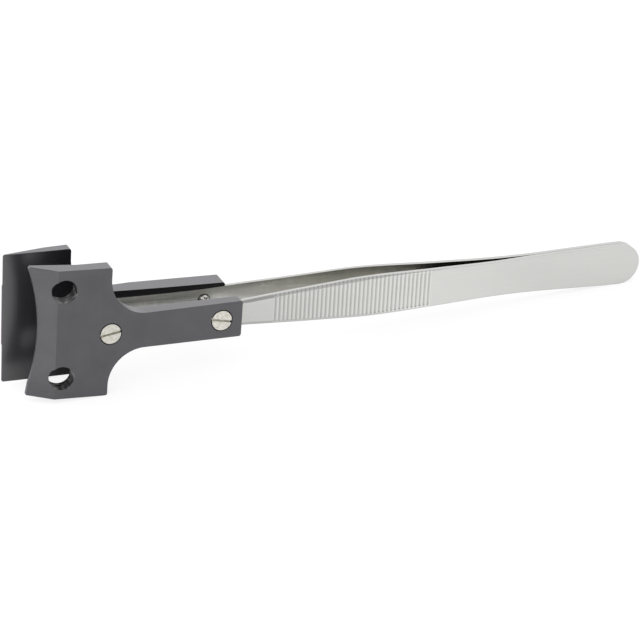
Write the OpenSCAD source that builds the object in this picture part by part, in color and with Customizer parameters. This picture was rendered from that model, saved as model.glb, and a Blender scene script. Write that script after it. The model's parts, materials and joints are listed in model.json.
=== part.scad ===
// Wafer tweezers: two spring steel blades welded face to face at the round end, a moulded T-shaped
// jaw screwed to the outside of each blade. Sizes are in millimetres.
// Stations are lengths along the tweezers from the round end towards the jaws. The pieces are drawn
// in station space, x forward and y away from the middle plane, and place() lays the tool down.

/* [Blades] */
// Thickness of each sheet steel blade
blade_t = 1.0; // [0.8:0.05:1.1]
// Width of the blades at their round end
end_w = 8.4; // [8:0.1:9]
// Width at the waist, where the blades spring
waist_w = 7.06; // [6.6:0.1:7.6]
// Width at the middle of the finger grip
grip_w = 8.14; // [7.8:0.1:8.6]
// Width where a blade enters its jaw
neck_w = 4.86; // [4.6:0.1:5.2]
// Width of the tongue that lies in the jaw
tongue_w = 4.3; // [4:0.1:4.5]
// Station of the tongue's round tip
tongue_tip = 116; // [115:0.5:117]
// Height of the ground bevel along a blade's outer edges
bevel_h = 0.6; // [0.3:0.05:0.8]
// Sag of the blades' middle line at their round end
end_sag = 0.09; // [0:0.01:0.2]
// Sag of the blades' middle line at the grip
grip_sag = 0.19; // [0:0.01:0.3]

/* [Bow] */
// Length over which the blades are welded together
weld_len = 21; // [18:0.5:24]
// Station at which each blade is taken to flex
flex_at = 32; // [30:0.5:34]
// Gap between the blades at that station
flex_gap = 1.0; // [0.6:0.1:1.2]
// Gap between the blades at the middle of the grip
grip_gap = 4.1; // [3.8:0.1:4.6]
// Gap between the blades where they enter the jaws
neck_gap = 6.84; // [6.4:0.1:7.2]
// Gap between the tongues past their tips
tongue_gap = 7.84; // [7.6:0.1:8]

/* [Serrated grip] */
// Number of grooves across each blade
groove_count = 38; // [20:1:38]
// Distance from one groove to the next
groove_pitch = 0.876; // [0.8:0.004:0.9]
// Depth of a groove
groove_depth = 0.15; // [0.08:0.01:0.2]
// Radius of the round cutter that leaves a groove
groove_r = 0.25; // [0.2:0.01:0.35]
// Station of the groove nearest the round end
groove_first = 46.5; // [45:0.5:47]
// Plain margin between a groove's ends and the blade's edges
groove_margin = 0.5; // [0.4:0.05:1]

/* [Stems] */
// Station of the stems' free ends
stem_at = 86.65; // [86:0.05:87.5]
// Height of a stem at its free end
stem_end_h = 7.15; // [6.8:0.05:7.4]
// Height of a stem where it meets the head
stem_h = 6.9; // [6.6:0.05:7.2]
// Radius of the fillets between stem and head
fillet_r = 7.1; // [6:0.1:8]
// Middle of the near stem's free end above the middle of its head
near_end_z = 0.13; // [-0.3:0.01:0.3]
// Middle of the near stem's other end above the middle of its head
near_root_z = -0.28; // [-0.3:0.01:0.3]
// Middle of the far stem's free end above the middle of its head
far_end_z = 0.07; // [-0.3:0.01:0.3]
// Middle of the far stem's other end above the middle of its head
far_root_z = 0.19; // [-0.3:0.01:0.3]
// Distance of the near stem's inner face from the middle plane at the free end
near_seat = 4.02; // [3.9:0.02:4.1]
// Thickness of the near stem at the free end
near_stem_t = 2.53; // [2.4:0.01:2.8]
// Distance of the far stem's inner face from the middle plane at the free end
far_seat = 3.2; // [3.1:0.05:3.4]
// Thickness of the far stem
far_stem_t = 4.0; // [3.7:0.05:4.2]

/* [Heads] */
// Height of the T heads
head_h = 25.5; // [24:0.1:27]
// Corner radius of the heads
corner_r = 0.4; // [0.2:0.05:0.8]
// Station of the near head's rear edge
near_head_at = 112.7; // [112:0.1:113.5]
// Station of the near head's lip corners
near_lip_at = 127.7; // [127:0.1:128]
// Station at which the near head turns in towards the far one
near_turn_at = 118.5; // [118:0.1:119]
// Distance of the near head's inner face from the middle plane before the turn
near_turn_y = 4.32; // [4.2:0.02:4.4]
// Thickness of the near head at its rear edge
near_t = 2.85; // [2.7:0.05:3]
// Inward slope of the near head's inner face, in millimetres over each millimetre
near_toe = 0.162; // [0.14:0.002:0.17]
// Radius of the wafer rim that the near lip follows
wafer_r = 38; // [30:0.5:50]
// Length of the bevel behind the near lip's corners
near_bevel = 4.9; // [4.5:0.1:5.2]
// Edge left at the near lip
near_lip_t = 0.75; // [0.5:0.05:1]
// Station of the far head's rear edge, at the top
far_head_at = 117.1; // [116.5:0.1:117.5]
// Station of the far head's rear edge, at the bottom
far_foot_at = 116.4; // [116:0.1:117.5]
// Station of the far head's front edge
far_lip_at = 130.1; // [129.5:0.1:131]
// Distance that the far lip's top corner reaches further than its middle
far_skew = 0.15; // [0:0.01:0.2]
// Height of the slightly raised middle of the far lip
far_pad_h = 12; // [8:0.5:16]
// Distance that this middle stands forward
far_pad_t = 0.12; // [0.05:0.01:0.2]
// Distance of the far head's inner face from the middle plane at its rear edge
far_head_y = 4.0; // [3.9:0.02:4.1]
// Distance of the far lip's inner face from the middle plane
far_lip_y = 3.57; // [3.4:0.01:3.7]
// Thickness of the far head at its rear edge
far_t = 2.27; // [2.1:0.01:2.6]
// Length of the bevel behind the far lip
far_bevel = 7.9; // [7:0.1:8.2]
// Edge left at the far lip
far_lip_t = 0.25; // [0.2:0.05:0.5]
// Upward lean of the near head on its blade, in degrees
near_lean = 1.3; // [0.5:0.05:1.5]
// Upward lean of the far head on its blade, in degrees
far_lean = 1.05; // [0.5:0.05:1.5]

/* [Jaw holes] */
// Diameter of the holes through the near head
hole_d = 4.6; // [4:0.1:5]
// Station of the holes
hole_at = 121.48; // [121:0.1:121.8]
// Height of a hole's centre above or below the middle of the head
hole_z = 8.6; // [8:0.1:9]

/* [Screws] */
// Station of the screw near the stem's free end
stem_screw_at = 90.67; // [90.5:0.1:92]
// Station of the screw at the head
head_screw_at = 112.5; // [110:0.1:113]
// Thread diameter
thread_d = 2.0; // [1.8:0.1:2.2]
// Diameter of the slotted head
screw_head_d = 3.9; // [3.6:0.1:4]
// Height of the slotted head
screw_head_h = 1.3; // [1:0.1:1.4]
// Width of the driver slot
slot_w = 0.45; // [0.4:0.05:0.6]
// Length of thread that stands out of a blade's inner face
thread_end = 0.35; // [0.1:0.05:0.4]

/* [Hidden] */
steel = "silver";
plastic = [0.32, 0.32, 0.34];
bright = [0.84, 0.83, 0.78];

end_r = end_w / 2;
tongue_r = tongue_w / 2;
tongue_round_at = tongue_tip - tongue_r;

// Half gap between the blades, by station, forward of the weld
bow = [
    [weld_len, 0], [flex_at, flex_gap / 2], [44, grip_gap / 2 - 0.93], [60, grip_gap / 2],
    [72, 2.58], [80, 3.03], [stem_at, neck_gap / 2], [119, tongue_gap / 2]
];
// Half width of a blade, by station, forward of the round end
taper = [
    [end_r, end_r], [14, 3.98], [24, 3.68], [flex_at, waist_w / 2], [44, 3.78], [59, grip_w / 2],
    [68, 3.65], [80, 2.9], [stem_at, neck_w / 2], [92, tongue_r + 0.08], [tongue_round_at, tongue_r]
];
// Height of a blade's middle line, by station
sag = [
    [end_r, -end_sag], [24, -end_sag], [flex_at, -0.12], [46, -grip_sag], [62, -0.13],
    [75, -0.11], [stem_at, 0], [tongue_tip, 0]
];
// Share of the full bevel, by station: it fades towards the round end and under the jaw
bevel_share = [[flex_at, 0.03], [42, 0.08], [50, 0.35], [62, 1], [85, 1], [90, 0.05], [120, 0.05]];
bevel_depth = 0.4;

blade_step = 2;
seat_gap = 0.02;
pocket_clear = 0.06;
thread_clear = 0.02;
shank_clear = 0.15;
counterbore_clear = 0.2;
counterbore_h = screw_head_h + 0.04;
head_proud = 0.05;
slot_h = 0.6;
lip_cut = 0.4;
lip_foot = 2.2;
stem_corner_r = 0.45;
near_lean_at = 94.8;
far_lean_at = 107;
far_pad_z = 0.8;
arc_steps = 30;
reach = 30;

// Smooth curve through points [station, value], level at its first point
function chord(p, i) = (p[i + 1][1] - p[i][1]) / (p[i + 1][0] - p[i][0]);
function tangent(p, i) =
    i == 0 ? 0
    : i == len(p) - 1 ? chord(p, i - 1)
    : (p[i + 1][1] - p[i - 1][1]) / (p[i + 1][0] - p[i - 1][0]);
function span_at(p, s) = max([for (i = [0 : len(p) - 2]) if (s >= p[i][0] || i == 0) i]);
function hermite(p, i, d, u) =
    (2 * u ^ 3 - 3 * u ^ 2 + 1) * p[i][1] + (u ^ 3 - 2 * u ^ 2 + u) * d * tangent(p, i)
    + (3 * u ^ 2 - 2 * u ^ 3) * p[i + 1][1] + (u ^ 3 - u ^ 2) * d * tangent(p, i + 1);
function curve(p, s) =
    s <= p[0][0] ? p[0][1]
    : let (i = span_at(p, s), d = p[i + 1][0] - p[i][0]) hermite(p, i, d, (s - p[i][0]) / d);

// A blade at station s: inner face, half width and bevel
function inner(s) = curve(bow, s);
function outer(s) = inner(s) + blade_t;
function half_w(s) =
    s > tongue_round_at ? sqrt(max(0, tongue_r ^ 2 - (s - tongue_round_at) ^ 2)) : curve(taper, s);
function mid(s) = curve(sag, s);
function bevel(s) = bevel_h * lookup(s, bevel_share);

// Stations from a to b, evenly spaced
function stations(a, b) =
    let (n = ceil((b - a) / blade_step)) [for (k = [0 : n]) a + (b - a) * k / n];
tip_stations = [for (a = [20 : 15 : 80]) tongue_round_at + tongue_r * sin(a)];
blade_stations = concat(stations(flex_at, tongue_round_at), tip_stations);
tongue_stations = [for (s = blade_stations) if (s > stem_at - 2 * blade_step) s];

// Points along an arc about [cx, cy], from angle a to angle b
function arc(cx, cy, r, a, b, n = arc_steps) =
    [for (k = [0 : n]) let (t = a + (b - a) * k / n) [cx + r * cos(t), cy + r * sin(t)]];

// Solid through rings of points, all with n corners that turn counterclockwise as seen from the front
module loft(rings, twisted = false) {
    n = len(rings[0]);
    m = len(rings);
    sides = [
        for (i = [0 : m - 2]) for (k = [0 : n - 1])
            let (a = i * n + k, b = i * n + (k + 1) % n) [a, a + n, b + n, b]
    ];
    halves = [for (q = sides) each [[q[0], q[1], q[2]], [q[0], q[2], q[3]]]];
    back = [for (k = [0 : n - 1]) k];
    front = [for (k = [n - 1 : -1 : 0]) (m - 1) * n + k];
    polyhedron([for (r = rings) each r], concat([back, front], twisted ? halves : sides));
}

// Extrudes an outline drawn in station and height across the thickness, away from the middle plane
module across(thickness) {
    translate([0, thickness, 0]) rotate([90, 0, 0]) linear_extrude(thickness) children();
}

// Cylinder that runs away from the middle plane, from depth y
module bore(s, z, y, length, r) {
    translate([s, y, z]) rotate([-90, 0, 0]) cylinder(h = length, r = r, $fn = 48);
}

// Section of a blade at station s, bevelled along its outer edges
function blade_ring(s) =
    let (b = min(bevel(s), half_w(s) / 2), d = b * bevel_depth, i = inner(s), o = outer(s))
        let (low = mid(s) - half_w(s), high = mid(s) + half_w(s)) [
            [s, i, low], [s, o - d, low], [s, o, low + b], [s, o, high - b], [s, o - d, high], [s, i, high]
        ];

module blade() {
    difference() {
        loft([for (s = blade_stations) blade_ring(s)]);
        for (k = [0 : groove_count - 1]) groove(groove_first + k * groove_pitch);
        for (s = [stem_screw_at, head_screw_at]) bore(s, 0, 0, reach, thread_d / 2);
    }
}

module groove(s) {
    half = half_w(s) - groove_margin;
    translate([s, outer(s) + groove_r - groove_depth, mid(s) - half])
        cylinder(h = 2 * half, r = groove_r, $fn = 16);
}

// Rear end of a blade: welded over weld_len, then parting from its twin
module heel() {
    along = concat([0, weld_len], stations(weld_len + blade_step, flex_at));
    edge = stations(end_r + blade_step, flex_at);
    intersection() {
        across(reach) polygon(concat(
            arc(end_r, -end_sag, end_r, 90, 270, 2 * arc_steps),
            [for (s = edge) [s, mid(s) - half_w(s)]],
            [for (k = [len(edge) - 1 : -1 : 0]) [edge[k], mid(edge[k]) + half_w(edge[k])]]
        ));
        translate([0, 0, -end_w]) linear_extrude(2 * end_w) polygon(concat(
            [for (s = along) [s, inner(s)]],
            [for (k = [len(along) - 1 : -1 : 0]) [along[k], outer(along[k])]]
        ));
    }
}

// Inner and outer face of each jaw: distance from the middle plane, by station, with straight runs
near_in = [
    [stem_at - 1, near_seat], [near_turn_at, near_turn_y],
    [far_lip_at + 1, near_turn_y - near_toe * (far_lip_at + 1 - near_turn_at)]
];
near_out = [
    [stem_at - 1, near_seat + near_stem_t], [near_head_at + 1.5, near_turn_y + near_t],
    [near_lip_at - near_bevel, near_turn_y + near_t - 0.31], [far_lip_at + 1, near_turn_y + near_t - 0.6]
];
far_in = [
    [stem_at - 1, far_seat], [98, far_seat + 0.04], [105, far_seat + 0.2], [far_head_at, far_head_y],
    [far_lip_at - 3, far_lip_y + 0.06], [far_lip_at + 1, far_lip_y]
];
far_out = [
    [stem_at - 1, far_seat + far_stem_t], [104.5, far_seat + far_stem_t - 0.06],
    [109, far_head_y + far_t + 0.33], [far_head_at - 1.1, far_head_y + far_t + 0.08],
    [far_lip_at - far_bevel, far_lip_y + far_t - 0.16], [far_lip_at + 1, far_lip_y + far_t - 0.3]
];

// A point of a jaw's outline, leaned by angle a about station at
function leaned(s, z, a, at) = [at + (s - at) * cos(a) - z * sin(a), (s - at) * sin(a) + z * cos(a)];
module lean(a, at) {
    translate([at, 0, 0]) rotate([0, -a, 0]) translate([-at, 0, 0]) children();
}

// Front edges, from the bottom corner to the top one
front_half = head_h / 2;
rim_at = near_lip_at + sqrt(wafer_r ^ 2 - front_half ^ 2);
function rim_station(z) = rim_at - sqrt(wafer_r ^ 2 - z ^ 2);
near_front = concat(
    [[near_lip_at - lip_cut, -front_half]],
    [
        for (k = [0 : arc_steps])
            let (z = lip_foot - front_half + (2 * front_half - lip_foot - lip_cut) * k / arc_steps)
                [rim_station(z), z]
    ],
    [[near_lip_at - lip_cut, front_half]]
);
function far_edge(z) = far_lip_at + far_skew * z / front_half;
pad_low = far_pad_z - far_pad_h / 2;
pad_high = far_pad_z + far_pad_h / 2;
far_front = concat(
    arc(far_edge(-front_half) - corner_r, corner_r - front_half, corner_r, -90, 0, 4),
    [
        [far_edge(pad_low), pad_low], [far_edge(pad_low) + far_pad_t, pad_low + far_pad_t],
        [far_edge(pad_high) + far_pad_t, pad_high - far_pad_t], [far_edge(pad_high), pad_high]
    ],
    arc(far_edge(front_half) - corner_r, front_half - corner_r, corner_r, 0, 90, 4)
);

// Side view of a jaw: stem, fillets and T head, with the front edge and the stem's middle line given
function jaw_outline(head_at, foot_at, front, end_z, root_z) =
    let (c = stem_corner_r, r = corner_r) concat(
        arc(stem_at + c, end_z - stem_end_h / 2 + c, c, 180, 270, 4),
        arc(foot_at - fillet_r, root_z - stem_h / 2 - fillet_r, fillet_r, 90, 0),
        arc(foot_at + r, r - front_half, r, 180, 270, 4),
        front,
        arc(head_at + r, front_half - r, r, 90, 180, 4),
        arc(head_at - fillet_r, root_z + stem_h / 2 + fillet_r, fillet_r, 0, -90),
        arc(stem_at + c, end_z + stem_end_h / 2 - c, c, 90, 180, 4)
    );

// A jaw without its bevel, holes and screws: the outline between the two faces given
module blank(outline, inside, outside, angle, at) {
    intersection() {
        lean(angle, at) across(reach) polygon(outline);
        translate([0, 0, -reach]) linear_extrude(2 * reach)
            polygon(concat(inside, [for (k = [len(outside) - 1 : -1 : 0]) outside[k]]));
    }
}

// Cutter that leaves the outer bevel: it runs from point a of the face to the edge at lip
function bevel_ring(lip, a, inside, lip_t) =
    let (b = [lip[0], lookup(lip[0], inside) + lip_t], p = a - 0.2 * (b - a), q = b + 0.5 * (b - a))
        [[p[0], p[1], lip[1]], [q[0], q[1], lip[1]], [q[0] + 1, a[1] + 3, lip[1]]];

// Recess in a jaw's inner face that the blade's tongue lies in
function pocket_ring(s) =
    let (w = half_w(s) + pocket_clear, o = outer(s) + seat_gap, m = mid(s))
        [[s, 0, m - w], [s, o, m - w], [s, o, m + w], [s, 0, m + w]];

// What the blade's tongue and the two screws take out of a jaw
module seats(outside) {
    loft([for (s = concat(tongue_stations, [tongue_tip])) pocket_ring(s)]);
    for (s = [stem_screw_at, head_screw_at]) {
        bore(s, 0, 0, reach, thread_d / 2 + shank_clear);
        bore(s, 0, lookup(s, outside) - counterbore_h, reach, screw_head_d / 2 + counterbore_clear);
    }
}

// Slotted screw from the outside of the jaw into the blade, its slot turned by the angle given
module screw(s, outside, turn) {
    top = lookup(s, outside) + head_proud;
    under = top - screw_head_h;
    tip = inner(s) - thread_end;
    chamfer = 0.2;
    r = thread_d / 2 - thread_clear;
    difference() {
        translate([s, 0, 0]) rotate([-90, 0, 0]) rotate_extrude($fn = 48) polygon([
            [0, tip], [r - chamfer, tip], [r, tip + chamfer], [r, under],
            [screw_head_d / 2, under], [screw_head_d / 2, top], [0, top]
        ]);
        translate([s, top, 0]) rotate([0, turn, 0])
            cube([2 * screw_head_d, 2 * slot_h, slot_w], center = true);
    }
}

// Lies on the round end and on the lower rear corner of the near head, as in the photograph
rest_corner = leaned(near_head_at + corner_r, corner_r - front_half, near_lean, near_lean_at);
rest_run = rest_corner[0] - end_r;
rest_drop = rest_corner[1] + end_sag;
rest_tilt = atan2(-rest_drop, rest_run) - asin((end_r - corner_r) / norm([rest_run, rest_drop]));
ground = end_r * sin(rest_tilt) - end_sag * cos(rest_tilt) - end_r;
far_foot = leaned(far_edge(-front_half), -front_half, far_lean, far_lean_at);
middle = (far_foot[0] * cos(rest_tilt) - far_foot[1] * sin(rest_tilt)) / 2;

module place(side) {
    translate([middle, 0, -ground]) rotate([0, rest_tilt, 0]) scale_side(side) children();
}
module scale_side(side) {
    if (side == "near") mirror([0, 1, 0]) mirror([1, 0, 0]) children();
    else mirror([1, 0, 0]) children();
}

near_lips = [
    for (k = [0 : arc_steps])
        let (z = (front_half + 1) * (2 * k / arc_steps - 1)) [rim_station(z), z]
];
near_start = [near_lip_at - near_bevel, lookup(near_lip_at - near_bevel, near_out)];
far_lips = [for (z = [-front_half - 1, front_half + 1]) [far_edge(z), z]];
far_start = [far_lip_at - far_bevel, lookup(far_lip_at - far_bevel, far_out)];

module near_heel() { color(steel) place("near") heel(); }
module far_heel() { color(steel) place("far") heel(); }
module near_blade() { color(steel) place("near") blade(); }
module far_blade() { color(steel) place("far") blade(); }
module near_jaw() {
    color(plastic) place("near") difference() {
        blank(
            jaw_outline(near_head_at, near_head_at, near_front, near_end_z, near_root_z),
            near_in, near_out, near_lean, near_lean_at
        );
        lean(near_lean, near_lean_at) {
            loft([for (l = near_lips) bevel_ring(l, near_start, near_in, near_lip_t)], twisted = true);
            for (z = [-hole_z, hole_z]) bore(hole_at, z, 0, reach, hole_d / 2);
        }
        seats(near_out);
    }
}
module far_jaw() {
    color(plastic) place("far") difference() {
        blank(
            jaw_outline(far_head_at, far_foot_at, far_front, far_end_z, far_root_z),
            far_in, far_out, far_lean, far_lean_at
        );
        lean(far_lean, far_lean_at)
            loft([for (l = far_lips) bevel_ring(l, far_start, far_in, far_lip_t)], twisted = true);
        seats(far_out);
    }
}
module near_stem_screw() { color(bright) place("near") screw(stem_screw_at, near_out, -11); }
module near_head_screw() { color(bright) place("near") screw(head_screw_at, near_out, 10); }
module far_stem_screw() { color(bright) place("far") screw(stem_screw_at, far_out, 35); }
module far_head_screw() { color(bright) place("far") screw(head_screw_at, far_out, -20); }

near_heel();
far_heel();
near_blade();
far_blade();
near_jaw();
far_jaw();
near_stem_screw();
near_head_screw();
far_stem_screw();
far_head_screw();
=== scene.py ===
import json
import math
import random

import bpy
from mathutils import Matrix, Vector

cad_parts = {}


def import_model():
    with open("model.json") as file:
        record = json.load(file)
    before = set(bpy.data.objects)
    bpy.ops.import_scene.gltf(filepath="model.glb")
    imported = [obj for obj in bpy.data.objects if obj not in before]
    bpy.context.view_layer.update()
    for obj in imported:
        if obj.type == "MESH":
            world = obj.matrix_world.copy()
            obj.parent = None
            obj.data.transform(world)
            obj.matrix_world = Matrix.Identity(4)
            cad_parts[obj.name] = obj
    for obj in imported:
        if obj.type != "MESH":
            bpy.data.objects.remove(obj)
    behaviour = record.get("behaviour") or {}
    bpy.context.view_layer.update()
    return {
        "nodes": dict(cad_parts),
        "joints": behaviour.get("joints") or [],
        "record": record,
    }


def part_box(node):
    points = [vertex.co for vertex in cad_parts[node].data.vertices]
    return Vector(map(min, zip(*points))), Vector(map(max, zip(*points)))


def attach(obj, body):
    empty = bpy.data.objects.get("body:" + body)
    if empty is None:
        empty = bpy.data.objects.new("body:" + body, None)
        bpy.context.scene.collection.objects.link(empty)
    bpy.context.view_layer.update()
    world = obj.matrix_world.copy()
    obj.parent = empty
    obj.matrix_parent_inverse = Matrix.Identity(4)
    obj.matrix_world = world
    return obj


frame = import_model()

MM = 0.001
nodes = frame["nodes"]
scene = bpy.context.scene

# How the tool lies: it is tilted about Y until its jaws and its round end touch the floor
hinge = frame["joints"][0]
UP = Vector(hinge["axis"]).normalized()
TILT = math.atan2(UP.x, UP.z)
LAID = Matrix.Rotation(TILT, 4, "Y")
FLEX_STATION = 32 * MM
# The round end's place. A station is the length from there along the blades
REAR = Vector(hinge["pos_m"]) - LAID @ Vector((-FLEX_STATION, hinge["pos_m"][1], 0))
TILTED_REAR = LAID.inverted() @ REAR

# The ribs of the grips
FIRST_GROOVE = 46.5 * MM
GROOVE_PITCH = 0.876 * MM
GROOVES = 38

# The screws' shanks, and how far they stand out of the blades' inner faces
SHANK_R = 1.0 * MM
STICK_OUT = 0.35 * MM

# How far past a hole's radius its wall still counts
HOLE_MARGIN_MM = 0.05

# The camera, fitted to the photograph: LOOK_AT, a point of the tool before the tilt, is seen at SEEN_AT
IMAGE = 640
FOCAL_PX = 2771.0
DISTANCE = 531.8 * MM
AZIMUTH = math.radians(-22.94)
ELEVATION = math.radians(23.65)
ROLL = math.radians(3.19)
SEEN_AT = (335.98, 292.98)
LOOK_AT = Vector((-65 * MM, 0, 0))
SENSOR = 36.0
CLIP_START = 0.01

# Half of the floor's side in metres, and the samples taken of each rounded edge
FLOOR_HALF = 1.5
EDGE_SAMPLES = 6
# The background node's colour, and the strength at which that colour is white
ROOM_GREY = (0.8, 0.8, 0.8, 1)
WHITE_STRENGTH = 1.25


def add_camera():
    level = math.cos(ELEVATION)
    back = Vector((math.sin(AZIMUTH) * level, -math.cos(AZIMUTH) * level, math.sin(ELEVATION)))
    flat_right = Vector((math.cos(AZIMUTH), math.sin(AZIMUTH), 0))
    flat_up = back.cross(flat_right)
    right = flat_right * math.cos(ROLL) + flat_up * math.sin(ROLL)
    up = flat_up * math.cos(ROLL) - flat_right * math.sin(ROLL)
    metres_per_px = DISTANCE / FOCAL_PX
    aside = (SEEN_AT[0] - IMAGE / 2) * metres_per_px
    lift = (SEEN_AT[1] - IMAGE / 2) * metres_per_px
    eye = LOOK_AT + back * DISTANCE - right * aside + up * lift
    turn = Matrix((right, up, back)).transposed().to_4x4()
    lens = bpy.data.cameras.new("camera")
    lens.sensor_width = SENSOR
    lens.lens = FOCAL_PX * SENSOR / IMAGE
    lens.clip_start = CLIP_START
    cam = bpy.data.objects.new("camera", lens)
    cam.matrix_world = Matrix.Translation(REAR) @ LAID @ Matrix.Translation(eye) @ turn
    scene.collection.objects.link(cam)
    scene.camera = cam


add_camera()
scene.view_settings.view_transform = "Standard"


class Shader:
    """The node tree of a material or a world, built by short calls. Below, s is always one of these."""

    def __init__(self, owner, output="ShaderNodeOutputMaterial"):
        owner.use_nodes = True
        self.owner = owner
        self.tree = owner.node_tree
        self.tree.nodes.clear()
        self.out = self.add(output)
        self.bsdf = None

    def add(self, kind, props=None, **inputs):
        """An input's name is given with _ for each space."""
        node = self.tree.nodes.new(kind)
        for key, value in (props or {}).items():
            setattr(node, key, value)
        for key, value in inputs.items():
            self.put(node, key.replace("_", " "), value)
        return node

    def put(self, node, key, value):
        """Link or set an input, found by its name or its number."""
        socket = node.inputs[key]
        if isinstance(value, bpy.types.NodeSocket):
            self.tree.links.new(value, socket)
        elif isinstance(value, bpy.types.Node):
            self.tree.links.new(value.outputs[0], socket)
        else:
            socket.default_value = value

    def principled(self, **inputs):
        self.bsdf = self.add("ShaderNodeBsdfPrincipled", None, **inputs)
        self.put(self.out, "Surface", self.bsdf)

    def math(self, operation, *values):
        node = self.add("ShaderNodeMath", {"operation": operation})
        for key, value in enumerate(values):
            self.put(node, key, value)
        return node.outputs[0]

    def times(self, first, *others):
        for other in others:
            first = self.math("MULTIPLY", first, other)
        return first

    def plus(self, first, *others):
        for other in others:
            first = self.math("ADD", first, other)
        return first

    def minus(self, first, other):
        return self.math("SUBTRACT", first, other)

    def larger(self, first, other):
        return self.math("MAXIMUM", first, other)

    def ramp(self, value, start, end):
        """start and end are pairs: a value and the result there. Beyond them the result stays level."""
        node = self.add("ShaderNodeMapRange", None, Value=value)
        for name, pair in (("Min", start), ("Max", end)):
            node.inputs["From " + name].default_value = pair[0]
            node.inputs["To " + name].default_value = pair[1]
        return node.outputs["Result"]

    def between(self, fac, low, high):
        """From low where fac is 0 to high where it is 1."""
        return self.ramp(fac, (0.0, low), (1.0, high))

    # a mix node's inputs share their names, so they are found by number

    def blend(self, fac, a, b):
        node = self.add("ShaderNodeMix", {"data_type": "FLOAT"})
        for key, value in ((0, fac), (2, a), (3, b)):
            self.put(node, key, value)
        return node.outputs[0]

    def mix_colour(self, fac, a, b):
        node = self.add("ShaderNodeMix", {"data_type": "RGBA"})
        for key, value in ((0, fac), (6, a), (7, b)):
            self.put(node, key, value)
        return node.outputs[2]

    def scale(self, vector, by):
        node = self.add("ShaderNodeVectorMath", {"operation": "SCALE"}, Scale=by)
        self.put(node, 0, vector)
        return node.outputs[0]

    def stretch(self, vector, by):
        node = self.add("ShaderNodeVectorMath", {"operation": "MULTIPLY"})
        self.put(node, 0, vector)
        self.put(node, 1, by)
        return node.outputs[0]

    def part(self, vector, axis):
        node = self.add("ShaderNodeSeparateXYZ")
        self.put(node, 0, vector)
        return node.outputs[axis]

    def given(self, kind):
        """Object, Normal or Generated coordinates. Object and Normal are in the frame of the CAD."""
        return self.add("ShaderNodeTexCoord").outputs[kind]

    def along_blades(self):
        """The place in metres, turned so that X runs along the blades."""
        turned = self.add("ShaderNodeMapping", {"vector_type": "TEXTURE"}, Vector=self.given("Object"))
        turned.inputs["Rotation"].default_value = (0, TILT, 0)
        return turned.outputs[0]

    def station(self):
        return self.minus(TILTED_REAR.x, self.part(self.along_blades(), "X"))

    def height(self):
        """Height over the tool's middle line."""
        return self.minus(self.part(self.along_blades(), "Z"), TILTED_REAR.z)

    def noise(self, lengthwise, across, upwards, detail=2.0, rough=0.5):
        """Noise with that many grains to a metre in each direction."""
        vector = self.stretch(self.along_blades(), (lengthwise, across, upwards))
        node = self.add("ShaderNodeTexNoise", None, Vector=vector, Scale=1.0, Detail=detail, Roughness=rough)
        return node.outputs["Fac"]

    def even_noise(self, grains, detail=2.0, rough=0.5):
        return self.noise(grains, grains, grains, detail, rough)

    def facing(self):
        """Below 0 on the faces that look at the other blade, above 0 on the outer faces."""
        return self.times(self.part(self.given("Normal"), "Y"), self.part(self.given("Object"), "Y"))

    def away_from(self, x, z):
        """Distance from an axis along Y."""
        away = self.add("ShaderNodeVectorMath", {"operation": "DISTANCE"})
        self.put(away, 0, self.stretch(self.given("Object"), (1, 0, 1)))
        self.put(away, 1, (x, 0, z))
        return away.outputs["Value"]

    def gap_shade(self, screw):
        """Painted shade in the narrow gap between a screw's shank and the edge of its hole."""
        low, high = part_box(screw)
        away = self.away_from((low[0] + high[0]) / 2, (low[2] + high[2]) / 2)
        return self.ramp(away, (1.08 * SHANK_R, 0.12), (1.3 * SHANK_R, 1.0))

    def soft_edges(self, radius):
        return self.add("ShaderNodeBevel", {"samples": EDGE_SAMPLES}, Radius=radius).outputs[0]

    def bump(self, height, strength, distance, normal):
        node = self.add("ShaderNodeBump", None, Strength=strength, Distance=distance)
        self.put(node, "Height", height)
        self.put(node, "Normal", normal)
        return node.outputs[0]


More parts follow.
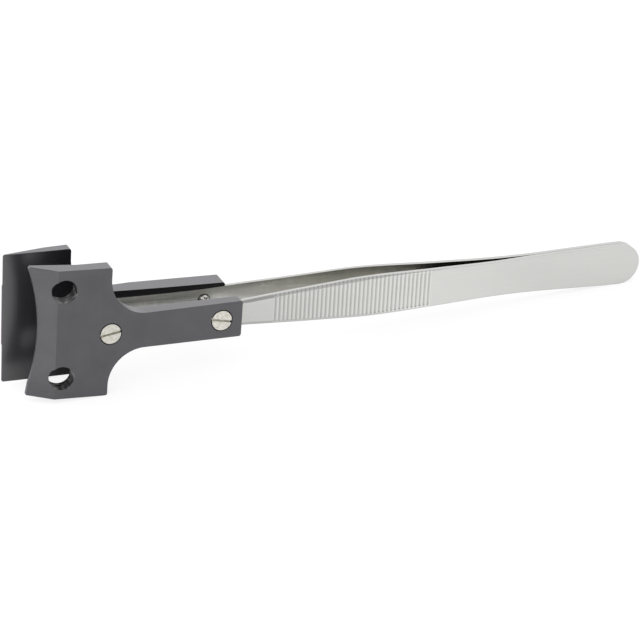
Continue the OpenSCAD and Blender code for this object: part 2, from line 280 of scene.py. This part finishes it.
def steel():
    outer_dull, outer_clean = (0.634, 0.634, 0.617, 1), (0.676, 0.676, 0.657, 1)
    inner_dull, inner_clean = (0.52, 0.518, 0.492, 1), (0.80, 0.798, 0.772, 1)
    s = Shader(bpy.data.materials.new("blade_steel"))
    depth = s.math("ABSOLUTE", s.part(s.given("Object"), "Y"))
    # on an inner face, at least half of the normal points at the other blade
    inside = s.math("LESS_THAN", s.facing(), s.times(depth, -0.5))
    station = s.station()
    height = s.height()
    streaks = s.noise(60, 4000, 4000, detail=3.0, rough=0.6)
    hatch = s.noise(2600, 300, 300, detail=2.0, rough=0.6)
    fine = s.noise(250, 9000, 9000)
    broad = s.noise(60, 160, 160)
    tone = s.ramp(s.plus(streaks, s.times(broad, 0.8)), (0.55, 0.0), (1.25, 1.0))
    outer = s.mix_colour(tone, outer_dull, outer_clean)
    marks = s.ramp(s.times(tone, hatch), (0.25, 0.0), (0.65, 1.0))
    inner = s.mix_colour(marks, inner_dull, inner_clean)

    # painted shade and light on the inner faces: darker towards the weld, lightest on the grips and darker
    # between the jaws' stems
    past_weld = s.ramp(station, (42 * MM, 0.42), (48 * MM, 1.19))
    grips = s.ramp(station, (50 * MM, 1.12), (66 * MM, 1.0))
    stems = s.ramp(station, (70 * MM, 1.0), (83 * MM, 0.82))
    # they are darker along their upper edge, above a line that comes down towards the jaws, and lighter below
    # it: painted shade and light
    line = s.ramp(station, (74 * MM, 2.8 * MM), (90 * MM, 0.8 * MM))
    top = s.ramp(s.minus(height, line), (-0.3 * MM, 1.12), (0.5 * MM, 0.88))
    gap_shades = s.times(s.gap_shade("near_stem_screw"), s.gap_shade("near_head_screw"))
    painted_inner_shading = s.times(past_weld, stems, grips, top, gap_shades)
    colour = s.mix_colour(inside, outer, s.scale(inner, painted_inner_shading))

    # painted shade in the grips' grooves, on the outer faces only and not on the edges
    turns = s.math("DIVIDE", s.minus(station, FIRST_GROOVE), GROOVE_PITCH)
    wave = s.math("COSINE", s.times(turns, 2 * math.pi))
    first = s.math("GREATER_THAN", turns, -0.5)
    last = s.math("LESS_THAN", turns, GROOVES - 0.5)
    upward = s.part(s.given("Normal"), "Z")
    gripped = s.times(first, last, s.minus(1.0, inside), s.ramp(upward, (0.6, 1.0), (0.8, 0.0)))
    # they end in a plain margin above the blade's lower edge
    margin = s.ramp(s.part(s.soft_edges(0.7 * MM), "Z"), (-0.22, 0.0), (-0.04, 1.0))
    painted_groove_shade = s.times(gripped, s.ramp(wave, (0.3, 0.0), (0.95, 0.34)), margin)

    # the upper edges are darker than the faces, and a thin darker line of painted shade runs along the lower
    # ones
    upper_edge_darkening = s.times(s.ramp(upward, (0.6, 0.0), (0.95, 0.28)), s.math("GREATER_THAN", height, 0.0))
    low_line = s.ramp(s.part(s.soft_edges(0.25 * MM), "Z"), (-0.6, 0.30), (-0.1, 0.0))
    darker = s.larger(painted_groove_shade, s.larger(upper_edge_darkening, low_line))
    # the seam where the two heels are welded together
    seam = s.ramp(depth, (0.02 * MM, 0.35), (0.12 * MM, 1.0))
    # painted light on the grips' ribs
    painted_light = s.plus(0.95, s.times(gripped, 0.12))
    s.principled(Base_Color=s.scale(colour, s.times(seam, s.minus(painted_light, darker))), Metallic=1.0)

    satin = s.plus(s.between(streaks, 0.29, 0.35), s.times(gripped, 0.09))
    s.put(s.bsdf, "Roughness", s.blend(inside, satin, s.between(streaks, 0.15, 0.27)))
    scratches = s.times(s.plus(streaks, s.times(fine, 0.3)), s.between(inside, 0.15, 1.0))
    edges = s.soft_edges(0.06 * MM)
    s.put(s.bsdf, "Normal", s.bump(scratches, strength=0.2, distance=0.005 * MM, normal=edges))
    return s.owner


def plastic():
    outer_dark, outer_pale = (0.0185, 0.018, 0.0220, 1), (0.0300, 0.0292, 0.0350, 1)
    inner_shade, inner_lip_light = (0.004, 0.004, 0.0045, 1), (0.012, 0.0117, 0.014, 1)
    wall_shade, wall_light = (0.008, 0.008, 0.009, 1), (0.105, 0.103, 0.100, 1)
    s = Shader(bpy.data.materials.new("jaw_plastic"))
    grain = s.even_noise(5000, detail=3.0, rough=0.6)
    cloud = s.even_noise(220, detail=3.0)
    blotch = s.even_noise(1500)
    tone = s.plus(s.times(grain, 0.3), s.times(cloud, 0.7))
    colour = s.mix_colour(s.ramp(tone, (0.3, 0.0), (0.7, 1.0)), outer_dark, outer_pale)

    # painted shade and light: the walls of the near jaw's two holes are darker, with lighter mottled patches
    in_hole = 0.0
    for hole in frame["record"]["mounts"]:
        x, _, z = hole["pos_m"]
        reach = (hole["dims"]["r_mm"] + HOLE_MARGIN_MM) * MM
        in_hole = s.plus(in_hole, s.math("LESS_THAN", s.away_from(x, z), reach))
    walls = s.times(in_hole, s.math("LESS_THAN", s.part(s.given("Object"), "Y"), 0.0))
    wall_light_patches = s.mix_colour(s.ramp(blotch, (0.50, 0.0), (0.64, 1.0)), wall_shade, wall_light)
    colour = s.mix_colour(walls, colour, wall_light_patches)

    # painted shade: the inner faces are darker than the outer ones, with painted light towards the lips; they
    # are also smoother, and shine only towards the lips
    inside = s.ramp(s.facing(), (-2.5 * MM, 1.0), (-1 * MM, 0.0))
    station = s.station()
    inner = s.mix_colour(s.ramp(station, (116 * MM, 0.0), (123 * MM, 1.0)), inner_shade, inner_lip_light)
    s.principled(Base_Color=s.mix_colour(inside, colour, inner), IOR=1.8)
    outer_shine, inner_rough = 0.5, 0.27
    inner_shine = s.ramp(station, (119 * MM, 0.11), (130 * MM, 0.8))
    s.put(s.bsdf, "Specular IOR Level", s.blend(inside, outer_shine, inner_shine))
    s.put(s.bsdf, "Roughness", s.blend(inside, s.between(cloud, 0.28, 0.36), inner_rough))

    relief = s.plus(s.times(grain, s.between(inside, 1.0, 0.15)), s.times(walls, blotch, 6.0))
    # the concave lip's surface is smoothed more than the edges are
    round_by = s.ramp(station, (123 * MM, 0.12 * MM), (123.6 * MM, 0.3 * MM))
    edges = s.soft_edges(round_by)
    s.put(s.bsdf, "Normal", s.bump(relief, strength=0.25, distance=0.015 * MM, normal=edges))
    return s.owner


def screw_steel():
    dull, clean = (0.62, 0.60, 0.52, 1), (0.88, 0.865, 0.80, 1)
    s = Shader(bpy.data.materials.new("screw_steel"))
    marks = s.noise(1200, 1200, 5000, detail=3.0, rough=0.6)
    facets = s.even_noise(1900, detail=1.0)
    wear = s.plus(s.times(marks, 0.45), s.times(facets, 0.55))
    s.principled(Base_Color=s.mix_colour(s.ramp(wear, (0.36, 0.0), (0.62, 1.0)), dull, clean), Metallic=1.0)
    s.put(s.bsdf, "Roughness", s.between(marks, 0.22, 0.38))
    edges = s.soft_edges(0.05 * MM)
    s.put(s.bsdf, "Normal", s.bump(wear, strength=0.3, distance=0.016 * MM, normal=edges))
    return s.owner


def cut_steel():
    """Painted shadow round the thread, with painted glints on random facets of the sheared face."""
    painted_thread_shadow, painted_light = (0.05, 0.048, 0.04, 1), (0.95, 0.94, 0.90, 1)
    s = Shader(bpy.data.materials.new("cut_steel"))
    facets = s.ramp(s.even_noise(2400, detail=1.0), (0.40, 0.15), (0.56, 1.0))
    flat = s.math("ABSOLUTE", s.part(s.given("Normal"), "Y"))
    painted_glints = s.times(s.ramp(flat, (0.25, 0.08), (0.85, 1.0)), facets)
    s.principled(Base_Color=s.mix_colour(painted_glints, painted_thread_shadow, painted_light), Metallic=1.0, Roughness=0.25)
    return s.owner


FINISHES = {"blade_steel": steel(), "jaw_plastic": plastic(), "screw_steel": screw_steel()}
for part in frame["record"]["subparts"]:
    obj = nodes[part["node"]]
    obj.data.materials.clear()
    obj.data.materials.append(FINISHES[part["material_slot"]])

# The screws' cut ends between the blades: one turn of thread and a rough sheared face
SHEARED = cut_steel()
AROUND = 16
# Radius in shanks and height over the tip in STICK_OUTs, from the blade's face to the sheared face
THREAD_RINGS = [(1.0, 1.0), (1.045, 0.72), (1.0, 0.42), (1.03, 0.22)]
SHEARED_RINGS = [(0.86, -0.04), (0.58, -0.1), (0.28, -0.1)]
SHEARED_MIDDLE = -0.12
THREAD_CLIMB = 0.3
# How far the sheared face's corners stray in height, and by what factor in radius
STRAY_HEIGHT = (-0.45, 0.10)
STRAY_RADIUS = (0.85, 1.05)


def cut_end(node, body, seed):
    low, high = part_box(node)
    side = -1 if low[1] < 0 else 1
    tip = min(abs(low[1]), abs(high[1]))
    middle_x = (low[0] + high[0]) / 2
    middle_z = (low[2] + high[2]) / 2
    chance = random.Random(seed)
    verts, faces = [], []

    def corner(step, radius, height):
        angle = 2 * math.pi * step / AROUND
        x = middle_x + radius * SHANK_R * math.cos(angle)
        z = middle_z + radius * SHANK_R * math.sin(angle)
        verts.append((x, side * (tip + height * STICK_OUT), z))

    for k, (radius, height) in enumerate(THREAD_RINGS):
        for step in range(AROUND):
            climb = THREAD_CLIMB * step / AROUND if k > 0 else 0.0
            corner(step, radius, min(height + climb, 1.0))
    for radius, height in SHEARED_RINGS:
        for step in range(AROUND):
            strayed = height + chance.uniform(*STRAY_HEIGHT)
            corner(step, radius * chance.uniform(*STRAY_RADIUS), strayed)
    last = len(verts) - AROUND
    verts.append((middle_x, side * (tip + SHEARED_MIDDLE * STICK_OUT), middle_z))
    for ring in range(0, last, AROUND):
        for i in range(AROUND):
            j = (i + 1) % AROUND
            faces.append((ring + i, ring + j, ring + AROUND + j, ring + AROUND + i))
    faces += [(last + i, last + (i + 1) % AROUND, len(verts) - 1) for i in range(AROUND)]
    if side > 0:
        faces = [tuple(reversed(f)) for f in faces]
    mesh = bpy.data.meshes.new(node + "_end")
    mesh.from_pydata(verts, [], faces)
    mesh.materials.append(SHEARED)
    obj = bpy.data.objects.new(node + "_end", mesh)
    scene.collection.objects.link(obj)
    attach(obj, body)


for seed, screw in enumerate(("near_stem_screw", "near_head_screw", "far_stem_screw", "far_head_screw")):
    cut_end(screw, screw.split("_")[0] + "_arm", seed)


def floor():
    """A white floor that shows white to the camera and keeps a soft shadow."""
    shown_paper, plain_paper = (0.1, 0.1, 0.1, 1), (0.8, 0.8, 0.8, 1)
    s = Shader(bpy.data.materials.new("floor"))
    light = s.add("ShaderNodeLightPath")
    mirrored = light.outputs["Is Glossy Ray"]
    seen = s.larger(light.outputs["Is Camera Ray"], light.outputs["Is Transmission Ray"])
    along = s.part(s.given("Object"), "X")
    across = s.math("ABSOLUTE", s.part(s.given("Object"), "Y"))
    # its brightness as steel and plastic mirror it, darker under the jaws' stems than under the waist
    grips = s.ramp(along, (-26 * MM, 0.62), (22 * MM, 0.90))
    round_end = s.ramp(along, (30 * MM, 0.0), (50 * MM, -0.10))
    past_lips = s.ramp(along, (-80 * MM, 0.22), (-55 * MM, 0.0))
    # dimmer between the jaws, where little light gets in
    middle = s.ramp(across, (1 * MM, 0.6), (12 * MM, 1.0))
    shelter = s.larger(middle, s.ramp(along, (-50 * MM, 0.0), (-30 * MM, 1.0)))
    paper = s.times(s.plus(grips, round_end, past_lips), shelter)
    glow = s.plus(s.times(seen, 0.82), s.times(mirrored, paper))
    white = s.add("ShaderNodeEmission", None, Color=(1, 1, 1, 1), Strength=glow)
    colour = s.mix_colour(s.larger(seen, mirrored), plain_paper, shown_paper)
    matt = s.add("ShaderNodeBsdfDiffuse", None, Color=colour)
    both = s.add("ShaderNodeAddShader")
    s.put(both, 0, white)
    s.put(both, 1, matt)
    s.put(s.out, "Surface", both)
    mesh = bpy.data.meshes.new("floor")
    corners = [(-1, -1), (1, -1), (1, 1), (-1, 1)]
    mesh.from_pydata([(x * FLOOR_HALF, y * FLOOR_HALF, 0) for x, y in corners], [], [(0, 1, 2, 3)])
    mesh.materials.append(s.owner)
    obj = bpy.data.objects.new("floor", mesh)
    scene.collection.objects.link(obj)


def world():
    """A softly lit room, brightest overhead. Gloss shows it bright behind the tool, dim behind the camera."""
    s = Shader(bpy.data.worlds.new("world"), "ShaderNodeOutputWorld")
    scene.world = s.owner
    path = s.add("ShaderNodeLightPath")
    way = s.given("Generated")
    side, depth, height = s.part(way, "X"), s.part(way, "Y"), s.part(way, "Z")
    lit = s.times(s.ramp(height, (0.0, 1.5), (0.8, 3.2)), s.ramp(side, (-1.0, 1.8), (1.0, 0.5)))
    ahead = s.times(s.ramp(depth, (-0.85, 1.0), (-0.35, 0.0)), s.ramp(height, (-0.02, 0.0), (0.12, 1.0)))
    behind = s.times(s.ramp(depth, (0.1, 0.0), (0.6, 1.0)), s.ramp(height, (0.6, 1.0), (0.9, 0.0)))
    mirrored = s.minus(s.plus(1.0, s.times(behind, 0.7)), s.times(ahead, 0.55))
    strength = s.blend(path.outputs["Is Glossy Ray"], lit, mirrored)
    seen = s.larger(path.outputs["Is Camera Ray"], path.outputs["Is Transmission Ray"])
    strength = s.blend(seen, strength, WHITE_STRENGTH)
    s.put(s.out, "Surface", s.add("ShaderNodeBackground", None, Color=ROOM_GREY, Strength=strength))


floor()
world()
